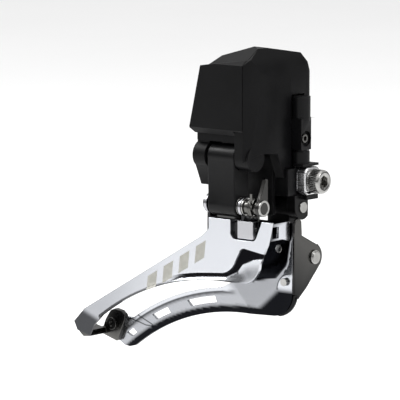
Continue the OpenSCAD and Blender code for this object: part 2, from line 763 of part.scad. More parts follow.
module tail_screw() color(steel) difference() {
    union() {
        rod_y(tail_at, rivet_r, tail_plate_y[0] - 0.5, inner_plate_y + sheet + 1.2);
        rod_y(tail_at, 2.2, tail_plate_y[0] - 1.4, tail_plate_y[0] - seat_gap);
        rod_y(tail_at, 1.7, inner_plate_y + sheet + seat_gap, inner_plate_y + sheet + 1);
    }
    rod_y(tail_at, 0.9, tail_plate_y[0] - 2, tail_plate_y[0] - 0.7, 6);
}

// A stud pressed into the back of a plate at y0, with a low head at y1
module stud(at, y0, y1) {
    rod_y(at, rivet_r, y0, y1 + 0.4);
    rod_y(at, rivet_head_r, y1 + seat_gap, y1 + 0.45);
}

// A rivet through sheet metal from y0 to y1, with a low head at each end
module rivet(at, y0, y1) {
    stud(at, y0 - 0.4, y1);
    rod_y(at, rivet_head_r, y0 - 0.45, y0 - seat_gap);
}

module plate_rivets() color(steel) {
    for (at = bracket_rivet_at) stud(at, stud_y0, bracket_y1 + sheet);
    stud(front_rivet_at, stud_y0, outer_plate_y + sheet);
    for (at = inner_rivet_at) rivet(at, inner_plate_y - sheet, inner_plate_y + sheet);
    for (at = bracket_side_rivets) rivet(at, inner_plate_y, inner_plate_y + 2 * sheet);
}

// ---------------------------------------------------------------- nodes

main_housing();
motor_cover();
cover_gasket();
cover_screws();
mount_bracket();
bracket_screws();
inner_upper_pin();
motor_can();
gear_plate();
wheel_axle();
circuit_board();
cable_socket();
shaft_bushes();
clamp_bolt();
radius_washer();
support_bolt();
motor_shaft();
motor_pinion();
reduction_wheel();
reduction_pinion();
output_shaft();
output_sector();
outer_link();
outer_link_bushes();
inner_link();
inner_link_bushes();
outer_plate();
inner_plate();
cage_bracket();
front_bridge();
rear_bridge();
front_bracket();
outer_lower_pin();
inner_lower_pin();
pin_washers();
saver_spring();
spring_bush();
saver_lever();
tail_bracket();
tail_screw();
plate_rivets();
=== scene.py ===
"""Looks of the motorised front derailleur: materials, finished meshes, light, floor and camera.

Lengths in this file are written in millimetres and scaled by MM when a mesh or a place is made.
A flat outline of the cage is written (x, z), the centre of a turned piece is written (y, z).
"""
import json
import math

import bmesh
import bpy
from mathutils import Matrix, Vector
from mathutils.geometry import delaunay_2d_cdt


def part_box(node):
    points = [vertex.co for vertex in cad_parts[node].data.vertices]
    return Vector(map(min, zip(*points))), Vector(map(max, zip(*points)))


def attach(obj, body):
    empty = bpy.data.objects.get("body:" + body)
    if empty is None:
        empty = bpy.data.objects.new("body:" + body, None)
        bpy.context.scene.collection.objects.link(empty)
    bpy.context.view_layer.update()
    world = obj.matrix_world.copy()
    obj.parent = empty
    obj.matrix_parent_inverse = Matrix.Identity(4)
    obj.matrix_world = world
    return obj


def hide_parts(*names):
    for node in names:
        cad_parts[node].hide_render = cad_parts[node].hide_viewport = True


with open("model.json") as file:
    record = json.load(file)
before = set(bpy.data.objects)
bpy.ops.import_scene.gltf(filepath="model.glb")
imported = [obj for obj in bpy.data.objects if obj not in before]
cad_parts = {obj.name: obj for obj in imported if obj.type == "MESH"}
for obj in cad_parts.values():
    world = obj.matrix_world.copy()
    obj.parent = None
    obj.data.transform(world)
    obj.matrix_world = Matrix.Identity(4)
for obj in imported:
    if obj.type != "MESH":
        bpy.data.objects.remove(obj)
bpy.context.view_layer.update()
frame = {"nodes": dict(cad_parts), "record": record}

MM = 0.001
NODES = frame["nodes"]
BODY_OF = {node: body for body, members in frame["record"]["behaviour"]["bodies"].items() for node in members}
SLOT_OF = {row["node"]: row["material_slot"] for row in frame["record"]["subparts"]}


# ---------------------------------------------------------------- camera, light and floor

CAMERA_TARGET = Vector((-35.3, -14.0, -8.8)) * MM
CAMERA_AZIMUTH = 40
CAMERA_ELEVATION = 8
CAMERA_DISTANCE = 1.2
SENSOR_MM = 36
VIEW_WIDTH = 0.1411
FLOOR_Z = -0.130
FLOOR_SIZE = 16


def direction(azimuth, elevation):
    """Unit vector towards a viewer at an azimuth, where 0 looks along +Y, and an elevation in degrees."""
    a = math.radians(azimuth)
    e = math.radians(elevation)
    return Vector((math.sin(a) * math.cos(e), -math.cos(a) * math.cos(e), math.sin(e)))


def link(obj):
    bpy.context.scene.collection.objects.link(obj)
    return obj


def aim(obj, place, target):
    obj.location = place
    obj.rotation_euler = (place - target).to_track_quat("Z", "Y").to_euler()


def make_camera():
    data = bpy.data.cameras.new("camera")
    data.sensor_width = SENSOR_MM
    data.lens = SENSOR_MM * CAMERA_DISTANCE / VIEW_WIDTH
    camera = link(bpy.data.objects.new("camera", data))
    back = direction(CAMERA_AZIMUTH, CAMERA_ELEVATION)
    aim(camera, CAMERA_TARGET + back * CAMERA_DISTANCE, CAMERA_TARGET)
    bpy.context.scene.camera = camera


# Name, azimuth and elevation in degrees, distance, width and height in metres, power in watts
SOFTBOXES = (
    ("key", -60, 50, 1.3, 0.35, 0.9, 11),
    ("edge", 95, 35, 1.4, 0.25, 0.9, 7),
    ("top", 0, 84, 1.5, 2.2, 2.2, 10),
)


def make_softbox(name, azimuth, elevation, distance, width, height, watts):
    data = bpy.data.lights.new(name, "AREA")
    data.shape = "RECTANGLE"
    data.size = width
    data.size_y = height
    data.energy = watts
    lamp = link(bpy.data.objects.new(name, data))
    aim(lamp, CAMERA_TARGET + direction(azimuth, elevation) * distance, CAMERA_TARGET)


# Greys of the studio tent from the horizon, 0, to overhead, 1
TENT_GREYS = ((0.0, 0.1), (0.16, 0.22), (0.42, 0.9), (1.0, 1.0))
TENT_STRENGTH = 0.95


def make_world():
    """A studio tent: bright overhead, dim at the horizon."""
    world = bpy.data.worlds.new("studio")
    world.use_nodes = True
    tree = world.node_tree
    background = tree.nodes["Background"]
    coords = tree.nodes.new("ShaderNodeTexCoord")
    split = tree.nodes.new("ShaderNodeSeparateXYZ")
    ramp = tree.nodes.new("ShaderNodeValToRGB")
    tree.links.new(coords.outputs["Generated"], split.inputs[0])
    tree.links.new(split.outputs["Z"], ramp.inputs["Fac"])
    tree.links.new(ramp.outputs["Color"], background.inputs["Color"])
    for index, (place, grey) in enumerate(TENT_GREYS):
        stop = ramp.color_ramp.elements[index] if index < 2 else ramp.color_ramp.elements.new(place)
        stop.position = place
        stop.color = (grey, grey, grey, 1)
    background.inputs["Strength"].default_value = TENT_STRENGTH
    bpy.context.scene.world = world


def make_floor():
    half = FLOOR_SIZE / 2
    corners = [(-half, -half, FLOOR_Z), (half, -half, FLOOR_Z), (half, half, FLOOR_Z), (-half, half, FLOOR_Z)]
    mesh = bpy.data.meshes.new("floor")
    mesh.from_pydata(corners, [], [(0, 1, 2, 3)])
    floor = link(bpy.data.objects.new("floor", mesh))
    mesh.materials.append(pale_floor())


# ---------------------------------------------------------------- materials


class Shader:
    """A short way to build one node material round a Principled BSDF."""

    def __init__(self, name):
        self.material = bpy.data.materials.new(name)
        self.material.use_nodes = True
        self.tree = self.material.node_tree
        self.surface = self.tree.nodes["Principled BSDF"]
        self.coords = self.add("ShaderNodeTexCoord").outputs["Object"]

    def add(self, kind, **settings):
        node = self.tree.nodes.new(kind)
        for key, value in settings.items():
            setattr(node, key, value)
        return node

    def join(self, source, target):
        self.tree.links.new(source, target)

    def math(self, operation, *values):
        node = self.add("ShaderNodeMath", operation=operation)
        for socket, value in zip(node.inputs, values):
            if isinstance(value, (int, float)):
                socket.default_value = value
            else:
                self.join(value, socket)
        return node.outputs[0]

    def stretched(self, scale):
        node = self.add("ShaderNodeMapping")
        node.inputs["Scale"].default_value = scale
        self.join(self.coords, node.inputs["Vector"])
        return node.outputs[0]

    def noise(self, scale, detail=3, stretch=(1, 1, 1)):
        node = self.add("ShaderNodeTexNoise")
        node.inputs["Scale"].default_value = scale
        node.inputs["Detail"].default_value = detail
        self.join(self.stretched(stretch), node.inputs["Vector"])
        return node.outputs["Fac"]

    def spread(self, value, low, high):
        """Maps the middle of a noise onto a range."""
        node = self.add("ShaderNodeMapRange")
        node.inputs["From Min"].default_value = 0.3
        node.inputs["From Max"].default_value = 0.7
        node.inputs["To Min"].default_value = low
        node.inputs["To Max"].default_value = high
        self.join(value, node.inputs["Value"])
        return node.outputs[0]

    def blend(self, amount, first, second):
        """A colour between two others; each is a tuple or a socket."""
        node = self.add("ShaderNodeMix", data_type="RGBA")
        sockets = [s for s in node.inputs if s.type == "RGBA"]
        self.join(amount, node.inputs["Factor"])
        for socket, value in zip(sockets, (first, second)):
            if isinstance(value, tuple):
                socket.default_value = (*value, 1)
            else:
                self.join(value, socket)
        return next(s for s in node.outputs if s.type == "RGBA")

    def bump(self, height, strength, distance_mm):
        node = self.add("ShaderNodeBump")
        node.inputs["Strength"].default_value = strength
        node.inputs["Distance"].default_value = distance_mm * MM
        self.join(height, node.inputs["Height"])
        self.join(node.outputs[0], self.surface.inputs["Normal"])

    def set(self, **values):
        for key, value in values.items():
            socket = self.surface.inputs[key.replace("_", " ")]
            if isinstance(value, tuple):
                socket.default_value = (*value, 1)
            elif isinstance(value, (int, float)):
                socket.default_value = value
            else:
                self.join(value, socket)
        return self


def pale_floor():
    s = Shader("pale_floor")
    tint = s.blend(s.spread(s.noise(3), 0, 1), (0.93, 0.93, 0.93), (0.95, 0.95, 0.95))
    s.set(Base_Color=tint, Roughness=0.9)
    return s.material


def black_resin():
    """Moulded glass-filled resin: nearly black and finely spark-eroded."""
    s = Shader("black_resin")
    grain = s.noise(4200, 2)
    cloud = s.spread(s.noise(60, 4), 0, 1)
    s.set(Base_Color=s.blend(cloud, (0.0025, 0.0025, 0.0028), (0.004, 0.004, 0.0044)))
    s.set(Roughness=s.spread(cloud, 0.36, 0.44), Specular_IOR_Level=0.1)
    s.bump(grain, 0.22, 0.05)
    return s.material


def anodised_black():
    """Bead-blasted aluminium with a black anodic film."""
    s = Shader("anodised_black")
    grain = s.noise(5200, 2)
    cloud = s.spread(s.noise(110, 4), 0, 1)
    s.set(Base_Color=s.blend(cloud, (0.0035, 0.0035, 0.0038), (0.0055, 0.0055, 0.006)))
    s.set(Roughness=s.spread(cloud, 0.3, 0.4), Specular_IOR_Level=0.14)
    s.bump(grain, 0.18, 0.04)
    return s.material


def plated(name, bright, painted_dark, roughness, brush=(1, 1, 60)):
    """Polished plating. A mesh attribute, 0 to 1, paints shade and reflections into it, running from the
    bright colour to the dark one.
    """
    s = Shader(name)
    painted_shade = s.add("ShaderNodeAttribute", attribute_name="painted_shade").outputs["Fac"]
    hairline = s.noise(140, 4, brush)
    cloud = s.spread(s.noise(28, 3), 0, 1)
    shade = s.blend(s.math("MULTIPLY", cloud, 0.16), bright, tuple(0.72 * c for c in bright))
    # Painted shade and painted reflections: the attribute darkens the plating towards the dark colour
    shade = s.blend(painted_shade, shade, painted_dark)
    s.set(Base_Color=shade, Metallic=1.0)
    s.set(Roughness=s.spread(hairline, roughness, roughness + 0.06))
    s.bump(hairline, 0.05, 0.02)
    return s


PLATE_BRIGHT = (0.6, 0.615, 0.65)
PLATE_ROUGHNESS = 0.16


def polished_plate():
    # The second colour is the painted shade and reflection of the polished plating
    return plated("polished_plate", PLATE_BRIGHT, (0.006, 0.0065, 0.008), PLATE_ROUGHNESS).material


def dark_nickel():
    # The second colour is the painted shade and reflection of the dark nickel
    return plated("dark_nickel", (0.12, 0.118, 0.112), (0.01, 0.01, 0.011), 0.2, (60, 60, 1)).material


def turned_steel():
    """Plated steel with fine turning marks round the x axis."""
    s = Shader("turned_steel")
    lines = s.noise(900, 2, (1, 0.02, 0.02))
    cloud = s.spread(s.noise(240, 3), 0, 1)
    s.set(Base_Color=s.blend(cloud, (0.3, 0.297, 0.287), (0.4, 0.396, 0.385)), Metallic=1.0)
    s.set(Roughness=s.spread(lines, 0.14, 0.22))
    s.bump(lines, 0.12, 0.02)
    return s.material


def gear_brass():
    s = Shader("gear_brass")
    cloud = s.spread(s.noise(300, 4), 0, 1)
    s.set(Base_Color=s.blend(cloud, (0.66, 0.46, 0.18), (0.78, 0.57, 0.26)), Metallic=1.0)
    s.set(Roughness=s.spread(s.noise(1500, 2), 0.26, 0.38))
    s.bump(s.noise(2600, 2), 0.08, 0.02)
    return s.material


def board_green():
    s = Shader("board_green")
    weave = s.noise(900, 2, (1, 1, 0.2))
    s.set(Base_Color=s.blend(s.spread(weave, 0, 1), (0.012, 0.075, 0.03), (0.02, 0.12, 0.05)))
    s.set(Roughness=s.spread(weave, 0.3, 0.42))
    s.bump(weave, 0.1, 0.02)
    return s.material


def seal_rubber():
    s = Shader("seal_rubber")
    grain = s.noise(2400, 3)
    s.set(Base_Color=s.blend(s.spread(grain, 0, 1), (0.006, 0.006, 0.006), (0.014, 0.014, 0.014)))
    s.set(Roughness=s.spread(grain, 0.7, 0.85), Specular_IOR_Level=0.3)
    s.bump(grain, 0.2, 0.03)
    return s.material


# The printed bars are placed along and below a line from this point along the plate's upper edge
MARK_ORIGIN = (-22.9, -17.8)
MARK_ALONG = (-0.866, -0.5)
MARK_PITCH = 8.6
MARK_FILL = 0.6
MARK_START = 0.4
MARK_LENGTH = 31
MARK_TOP = 2.2
MARK_BOTTOM = 7.2
MARK_SLANT = 0.75
# The bars are only on the outboard face, in front of this y
MARK_BACK_Y = -24.3


def printed_plate():
    """The outer plate's plating, with four slanted bars printed in warm grey along its upper edge."""
    # The second colour is the painted shade and reflection of the plate
    s = plated("printed_plate", PLATE_BRIGHT, (0.004, 0.004, 0.005), PLATE_ROUGHNESS)
    split = s.add("ShaderNodeSeparateXYZ")
    s.join(s.coords, split.inputs[0])
    dx = s.math("SUBTRACT", s.math("DIVIDE", split.outputs["X"], MM), MARK_ORIGIN[0])
    dz = s.math("SUBTRACT", s.math("DIVIDE", split.outputs["Z"], MM), MARK_ORIGIN[1])
    along = s.math("ADD", s.math("MULTIPLY", dx, MARK_ALONG[0]), s.math("MULTIPLY", dz, MARK_ALONG[1]))
    below = s.math("SUBTRACT", s.math("MULTIPLY", dz, MARK_ALONG[0]), s.math("MULTIPLY", dx, MARK_ALONG[1]))
    sheared = s.math("SUBTRACT", along, s.math("ADD", s.math("MULTIPLY", below, MARK_SLANT), MARK_START))
    in_bar = s.math("LESS_THAN", s.math("FRACT", s.math("DIVIDE", sheared, MARK_PITCH)), MARK_FILL)
    after_start = s.math("GREATER_THAN", sheared, 0)
    before_end = s.math("LESS_THAN", sheared, MARK_LENGTH)
    under_top = s.math("GREATER_THAN", below, MARK_TOP)
    over_bottom = s.math("LESS_THAN", below, MARK_BOTTOM)
    lengthwise = s.math("MULTIPLY", after_start, before_end)
    outboard = s.math("LESS_THAN", split.outputs["Y"], MARK_BACK_Y * MM)
    crosswise = s.math("MULTIPLY", outboard, s.math("MULTIPLY", under_top, over_bottom))
    mask = s.math("MULTIPLY", in_bar, s.math("MULTIPLY", lengthwise, crosswise))
    plate = s.surface.inputs["Base Color"].links[0].from_socket
    roughness = s.surface.inputs["Roughness"].links[0].from_socket
    ink = s.blend(s.spread(s.noise(700, 3), 0, 1), (0.4, 0.395, 0.36), (0.46, 0.455, 0.42))
    s.set(Base_Color=s.blend(mask, plate, ink))
    s.set(Roughness=s.math("ADD", roughness, s.math("MULTIPLY", mask, 0.3)))
    return s.material


MATERIALS = {
    "housing_resin": black_resin(), "anodised_black": anodised_black(), "polished_plate": polished_plate(),
    "dark_nickel": dark_nickel(), "bright_steel": turned_steel(), "gear_brass": gear_brass(),
    "board_green": board_green(), "seal_rubber": seal_rubber(),
}


# ---------------------------------------------------------------- mesh helpers


def stand_for(piece, node, material=None):
    """Gives a finished piece its material, from its node's slot unless one is passed, and its body, and hides
    the CAD node that it stands for.
    """
    piece.data.materials.clear()
    piece.data.materials.append(material or MATERIALS[SLOT_OF[node]])
    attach(piece, BODY_OF[node])
    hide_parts(node)
    return piece


def finish_edges(piece, width_mm, segments=3, angle=32, full_mm=0):
    """Rounds the edges sharper than an angle in degrees.

    With full_mm, an edge that meets one shorter than it is rounded less, and no rounding overlaps another.
    """
    for polygon in piece.data.polygons:
        polygon.use_smooth = True
    bevel = piece.modifiers.new("bevel", "BEVEL")
    if full_mm:
        bm = bmesh.new()
        bm.from_mesh(piece.data)
        weight = bm.edges.layers.float.new("bevel_weight_edge")
        for edge in bm.edges:
            if edge.is_manifold and edge.calc_face_angle() > math.radians(angle):
                shortest = min(e.calc_length() for v in edge.verts for e in v.link_edges)
                edge[weight] = min(1, shortest / (full_mm * MM))
        bm.to_mesh(piece.data)
        bm.free()
    bevel.width = width_mm * MM
    bevel.segments = segments
    bevel.limit_method = "WEIGHT" if full_mm else "ANGLE"
    bevel.angle_limit = math.radians(angle)
    bevel.use_clamp_overlap = bool(full_mm)
    bevel.harden_normals = True
    return piece


def skin(node, width_mm, segments=3, painted_shade=None, full_mm=0, material=None):
    """A new mesh of a CAD node's shape with merged flat faces and rounded edges. A function of (x, y, z), if
    given, paints shade and reflections on it.
    """
    bm = bmesh.new()
    bm.from_mesh(NODES[node].data)
    bmesh.ops.remove_doubles(bm, verts=bm.verts, dist=0.002 * MM)
    bmesh.ops.dissolve_limit(bm, angle_limit=math.radians(0.6), verts=bm.verts, edges=bm.edges)
    bm.verts.index_update()
    mesh = bpy.data.meshes.new(node + "_finished")
    mesh.from_pydata([v.co[:] for v in bm.verts], [], [[v.index for v in f.verts] for f in bm.faces])
    bm.free()
    if painted_shade:
        values = mesh.attributes.new("painted_shade", "FLOAT", "POINT")
        values.data.foreach_set("value", [painted_shade(*(c / MM for c in v.co)) for v in mesh.vertices])
    piece = link(bpy.data.objects.new(node + "_finished", mesh))
    finish_edges(piece, width_mm, segments, full_mm=full_mm)
    return stand_for(piece, node, material)


def arc(centre, radius, start, end, steps):
    """Points of an arc, angles in degrees from the first axis."""
    angles = [math.radians(start + (end - start) * i / steps) for i in range(steps + 1)]
    return [(centre[0] + radius * math.cos(a), centre[1] + radius * math.sin(a)) for a in angles]


def dense(points, step, closed=True):
    """The same outline with no stretch longer than a step."""
    ends = points[1:] + points[:1] if closed else points[1:]
    result = []
    for a, b in zip(points, ends):
        count = max(1, math.ceil(math.dist(a, b) / step))
        result += [(a[0] + (b[0] - a[0]) * i / count, a[1] + (b[1] - a[1]) * i / count) for i in range(count)]
    return result


def inside(point, outline):
    """True where a point lies within an outline."""
    crossings = False
    for (ax, az), (bx, bz) in zip(outline, outline[1:] + outline[:1]):
        if (az > point[1]) != (bz > point[1]) and point[0] < (bx - ax) * (point[1] - az) / (bz - az) + ax:
            crossings = not crossings
    return crossings


def distance(point, line):
    """Distance from a point to an open line."""
    best = math.inf
    for (ax, az), (bx, bz) in zip(line, line[1:]):
        dx, dz = bx - ax, bz - az
        share = ((point[0] - ax) * dx + (point[1] - az) * dz) / (dx * dx + dz * dz)
        share = min(1, max(0, share))
        best = min(best, math.hypot(point[0] - ax - share * dx, point[1] - az - share * dz))
    return best


def right_of(point, a, b):
    """How far a point lies to the right of the line from a up to b."""
    dx, dz = b[0] - a[0], b[1] - a[1]
    return ((point[0] - a[0]) * dz - (point[1] - a[1]) * dx) / math.hypot(dx, dz)


def shifted(line, by):
    """An open line moved sideways, to the right of its direction."""
    result = []
    for i, (x, z) in enumerate(line):
        ax, az = line[max(0, i - 1)]
        bx, bz = line[min(len(line) - 1, i + 1)]
        length = math.dist((ax, az), (bx, bz))
        result.append((x + by * (bz - az) / length, z - by * (bx - ax) / length))
    return result


def smooth(share):
    """An even step from 0 to 1 with a soft start and end."""
    share = min(1, max(0, share))
    return share * share * (3 - 2 * share)


def in_sheet(point, rings):
    """True inside the first ring and outside the others, its windows."""
    return inside(point, rings[0]) and not any(inside(point, ring) for ring in rings[1:])


def ring_edges(rings):
    """The edges round each ring, numbered through all of them."""
    edges = []
    start = 0
    for ring in rings:
        edges += [(start + i, start + (i + 1) % len(ring)) for i in range(len(ring))]
        start += len(ring)
    return edges


def add_crease(crease, outline, points, edges, rims, step):
    """Adds a crease's points and edges where it runs inside the outline and clear of the rims."""
    line = [p for p in dense(crease, 0.6 * step, closed=False) if inside(p, outline)]
    line = [p for p in line if min(distance(p, rim) for rim in rims) > 0.25 * step]
    edges += [
        (len(points) + i, len(points) + i + 1)
        for i in range(len(line) - 1) if math.dist(line[i], line[i + 1]) < step
    ]
    points += line
    if len(line) > 1:
        rims.append(line)


def add_grid(rings, points, rims, step):
    """Fills a sheet with staggered rows of points that keep clear of the rims."""
    low_x, high_x = min(p[0] for p in rings[0]), max(p[0] for p in rings[0])
    low_z, high_z = min(p[1] for p in rings[0]), max(p[1] for p in rings[0])
    for row in range(int((high_z - low_z) / step)):
        for column in range(int((high_x - low_x) / step)):
            p = (low_x + (column + 0.5 * (row % 2)) * step, low_z + row * step)
            if in_sheet(p, rings) and min(distance(p, rim) for rim in rims) > 0.45 * step:
                points.append(p)


def triangulated(points, edges, rings):
    """The sheet's points in order and its triangles, with none across a window."""
    found = delaunay_2d_cdt([Vector(p) for p in points], edges, [], 1, 1e-5)
    flat = [(v.x, v.y) for v in found[0]]
    faces = []
    for triangle in found[2]:
        middle = (sum(flat[i][0] for i in triangle) / 3, sum(flat[i][1] for i in triangle) / 3)
        if in_sheet(middle, rings):
            faces.append(tuple(triangle))
    return flat, faces


def rim_edges(faces):
    """The edges that belong to one face only, in that face's direction."""
    used = dict.fromkeys((a, b) for face in faces for a, b in zip(face, face[1:] + face[:1]))
    return [(a, b) for a, b in used if (b, a) not in used]


def clean(mesh):
    """Removes loose points and turns every face outwards."""
    bm = bmesh.new()
    bm.from_mesh(mesh)
    loose = [v for v in bm.verts if not v.link_faces]
    bmesh.ops.delete(bm, geom=loose, context="VERTS")
    bmesh.ops.recalc_face_normals(bm, faces=bm.faces)
    bm.to_mesh(mesh)
    bm.free()


def pressed_sheet(name, outline, windows, creases, face, back_y, step):
    """A closed sheet with windows. face(x, z) gives its outboard side as (y, painted shade); back_y is its
    flat back.

    The mesh follows each crease, an open line, so that a fold or a change of painted shade along it stays
    crisp.
    """
    rings = [dense(ring, step) for ring in [outline] + windows]
    points = [p for ring in rings for p in ring]
    edges = ring_edges(rings)
    rims = [ring + ring[:1] for ring in rings]
    for crease in creases:
        add_crease(crease, rings[0], points, edges, rims, step)
    add_grid(rings, points, rims, step)
    flat, faces = triangulated(points, edges, rings)
    fronts = [face(x, z) for x, z in flat]
    count = len(flat)
    verts = [(x * MM, y * MM, z * MM) for (x, z), (y, _) in zip(flat, fronts)]
    verts += [(x * MM, back_y * MM, z * MM) for x, z in flat]
    polygons = faces + [tuple(i + count for i in reversed(f)) for f in faces]
    polygons += [(b, a, a + count, b + count) for a, b in rim_edges(faces)]
    mesh = bpy.data.meshes.new(name)
    mesh.from_pydata(verts, [], polygons)
    # The painted shade and painted reflections are kept in a mesh attribute
    painted_shade = mesh.attributes.new("painted_shade", "FLOAT", "POINT")
    painted_shade.data.foreach_set("value", [t for _, t in fronts] * 2)
    clean(mesh)
    return link(bpy.data.objects.new(name, mesh))


# ---------------------------------------------------------------- cage plates

# Centre of the chainring, (x, z), which the plates' long edges are concentric with
RING = (-15, -133)
# Rounding of the plates' sharp edges: segments, and the least angle that is rounded
SHEET_SEGMENTS = 2
SHEET_ANGLE = 50

OUTER_EDGE_R = 98.6
FLAT_Y = -24.8
BAND_Y = -24.15
STRIP_Y = -24.6
LIP_Y = -25.2
OUTER_BACK_Y = -23.4
OUTER_STEP = 0.7
OUTER_ROUND = 0.16

OUTER_OUTLINE = (
    [(-22.4, -12.5), (-12.6, -12.5), (-12.6, -16.2)]
    + arc((-10, -16.6), 2.6, 180, 270, 6)
    + arc((-3.4, -16.6), 2.6, 270, 340, 6)
    + [(1.4, -12), (5.6, -12), (4.7, -16.1), (3.7, -20), (1.2, -25.3)]
    + arc((-6.8, -27), 7.2, 0, -75, 8)
    + arc(RING, OUTER_EDGE_R, 88, 125.6, 24)
    + [(-76.6, -57), (-78.8, -61), (-84.8, -59.6), (-86.2, -56.4), (-80.9, -51.3)]
    + [(-25.4, -19.3), (-22.4, -16.4)]
)
# Where the proud flat ends, from the right ear round the S bend and back to the tail
FLAT_EDGE = (
    [(5.2, -21.6), (2.2, -23.2)]
    + arc((-6.6, -24.4), 2.4, 80, 165, 6)
    + arc((-17.4, -24.4), 7.2, -20, -80, 8)
    + arc(RING, OUTER_EDGE_R + 2.6, 95, 126, 16)
)
# Upper edge of the strip along the plate's lower edge, which is painted bright
STRIP_EDGE = (
    [(4.6, -25.2), (0, -25.4), (-3, -26), (-7.3, -27.8), (-9.6, -30.7), (-14.7, -33)]
    + arc(RING, OUTER_EDGE_R + 0.9, 94, 126, 16)
)

# Fold across the tail, in front of the tip that turns inwards and is painted darker
TAIL_CREASE = [(-80.9, -50.6), (-73.6, -53.4)]
# How far the tip turns inwards, its slope, and its painted shade with the length over which that fades in
TIP_DEPTH = 0.8
TIP_SLOPE = 0.07
TIP_PAINTED_SHADE = 0.5
TIP_FADE = 2.5
# The riser under the flat, with its painted dark band, starts at the first x and is full at the second
BAND_START = (-42, -33)
# The darkest painted shade
DARKEST_PAINTED_SHADE = 1
# Width over which a pressed fold changes height
FOLD = 0.35
# Width of the painted dark line along the rolled lower edge, and its painted shade
EDGE_LINE = 0.3
EDGE_PAINTED_SHADE = 0.85


def below_line(point, line):
    """True where a point lies under an open line that runs from right to left."""
    closed = list(line) + [(line[-1][0], -90), (line[0][0], -90)]
    return inside(point, closed)


def outer_face(x, z):
    """The outer plate's outboard side at a point, as (y, painted shade)."""
    # Painted shade: the turned-in tip is painted darker, and the flat carries the painted shade of
    # plate_shade
    past_tail = max(0.0, -right_of((x, z), TAIL_CREASE[1], TAIL_CREASE[0]))
    tail_y = min(TIP_DEPTH, TIP_SLOPE * past_tail)
    shade = TIP_PAINTED_SHADE * smooth(past_tail / TIP_FADE) + plate_shade(x)
    to_flat = distance((x, z), FLAT_EDGE)
    if not below_line((x, z), FLAT_EDGE):
        return FLAT_Y + tail_y, shade
    to_strip = distance((x, z), STRIP_EDGE)
    if not below_line((x, z), STRIP_EDGE):
        wall = smooth(to_flat / FOLD) * band_share(x)
        y = FLAT_Y + (BAND_Y - FLAT_Y) * wall
        y += (STRIP_Y - y) * (1 - smooth(to_strip / FOLD))
        # Painted dark band on the riser, fading at both folds
        painted_dark = DARKEST_PAINTED_SHADE * smooth(to_strip / FOLD) * smooth(to_flat / FOLD)
        return y + tail_y, shade + (painted_dark - shade) * band_share(x)
    to_edge = max(0.0, math.dist((x, z), RING) - OUTER_EDGE_R)
    share = to_strip / (to_strip + to_edge + 1e-6)
    # The strip is painted brighter under the band, and a painted dark line runs along the lower edge
    strip_painted_shade = shade * (1 - 0.9 * band_share(x))
    line = 1 - smooth((to_edge - EDGE_LINE) / FOLD)
    return STRIP_Y + (LIP_Y - STRIP_Y) * smooth(share) + tail_y, strip_painted_shade + (EDGE_PAINTED_SHADE - strip_painted_shade) * line


def band_share(x):
    """How far the riser under the flat and its painted dark band have come in, 0 to 1."""
    return smooth((x - BAND_START[0]) / (BAND_START[1] - BAND_START[0]))


# Painted shade of the flat at the ears, what it gains towards the tail, and where that starts and how long it
# takes
EAR_PAINTED_SHADE = 0.12
TAIL_GAIN = 0.3
GAIN_START_X = -34
GAIN_LENGTH = 42


def plate_shade(x):
    """The flat is painted bright at the ears and a little darker towards the tail."""
    return EAR_PAINTED_SHADE + TAIL_GAIN * smooth((GAIN_START_X - x) / GAIN_LENGTH)


def make_outer_plate():
    creases = [
        FLAT_EDGE, shifted(FLAT_EDGE, -FOLD), STRIP_EDGE, shifted(STRIP_EDGE, FOLD),
        arc(RING, OUTER_EDGE_R + EDGE_LINE, 88.5, 125.4, 40),
        arc(RING, OUTER_EDGE_R + EDGE_LINE + FOLD, 88.5, 125.4, 40), TAIL_CREASE,
    ]
    piece = pressed_sheet(
        "outer_plate_pressed", OUTER_OUTLINE, [], creases, outer_face, OUTER_BACK_Y, OUTER_STEP
    )
    finish_edges(piece, OUTER_ROUND, SHEET_SEGMENTS, SHEET_ANGLE)
    stand_for(piece, "outer_plate", printed_plate())


INNER_Y = -12.6
INNER_BACK_Y = -11.4
INNER_STEP = 0.75
INNER_ROUND = 0.14
INNER_EDGE_R = 85.7
INNER_TOP_R = 94.5
WINDOW_R = (89.2, 91.6)
WINDOW_ANGLES = ((98.8, 107.4), (113.2, 118.6), (125, 127.6))
INNER_OUTLINE = (
    [(-17, -13.6), (-14.8, -13.6), (-14.8, -20.3), (-13.2, -20.3)]
    + [(-13.2, -13.6), (4.6, -13.6)]
    + arc((-4, -38.4), 8.6, 0, -85, 12)
    + arc(RING, INNER_EDGE_R, 89, 125.6, 26)
    + [(-67, -64.8), (-69.6, -65.5), (-72.2, -65.2), (-74.8, -63.6)]
    + [(-80.6, -61.6), (-80.4, -58), (-77.6, -53.4), (-73.4, -54.8)]
    + arc(RING, INNER_TOP_R, 124, 97, 18)
    + [(-20, -36), (-17, -30)]
)
CREASE_TOP_LEFT = (-22.3, -36.6)
CREASE_TOP_RIGHT = (-2.6, -37)
CREASE_FOOT = (-13.3, -46.6)
# The recessed upper part of the front, in shadow under the bridges; its lower border comes first
DARK_AREA = [
    (4.1, -20), (2.9, -27.3), (2.2, -29), (-2.3, -33.8), (-22.3, -36.6), (-20, -32), (-17, -30), (-18, -13),
    (6, -13)
]
DARK_BORDER = DARK_AREA[:5]
DARK_FADE = 0.4
DARK_DEPTH = 0.5
BOSS_CENTRE = (3.8, -37.2)
BOSS_R = 5.7
# Lines of painted shade round the front boss and round the tail's window; the face keeps its height across
# them
GROOVES = [
    arc(BOSS_CENTRE, BOSS_R, 75, 178, 12),
    [
        (-73.3, -62), (-73.6, -58.8), (-72.2, -56.5), (-69.1, -55.2),
        (-65, -56), (-61.8, -56.8), (-58.1, -56.7)
    ],
    [(-65.9, -53.4), (-62.2, -54.9), (-58.5, -56.3)],
]
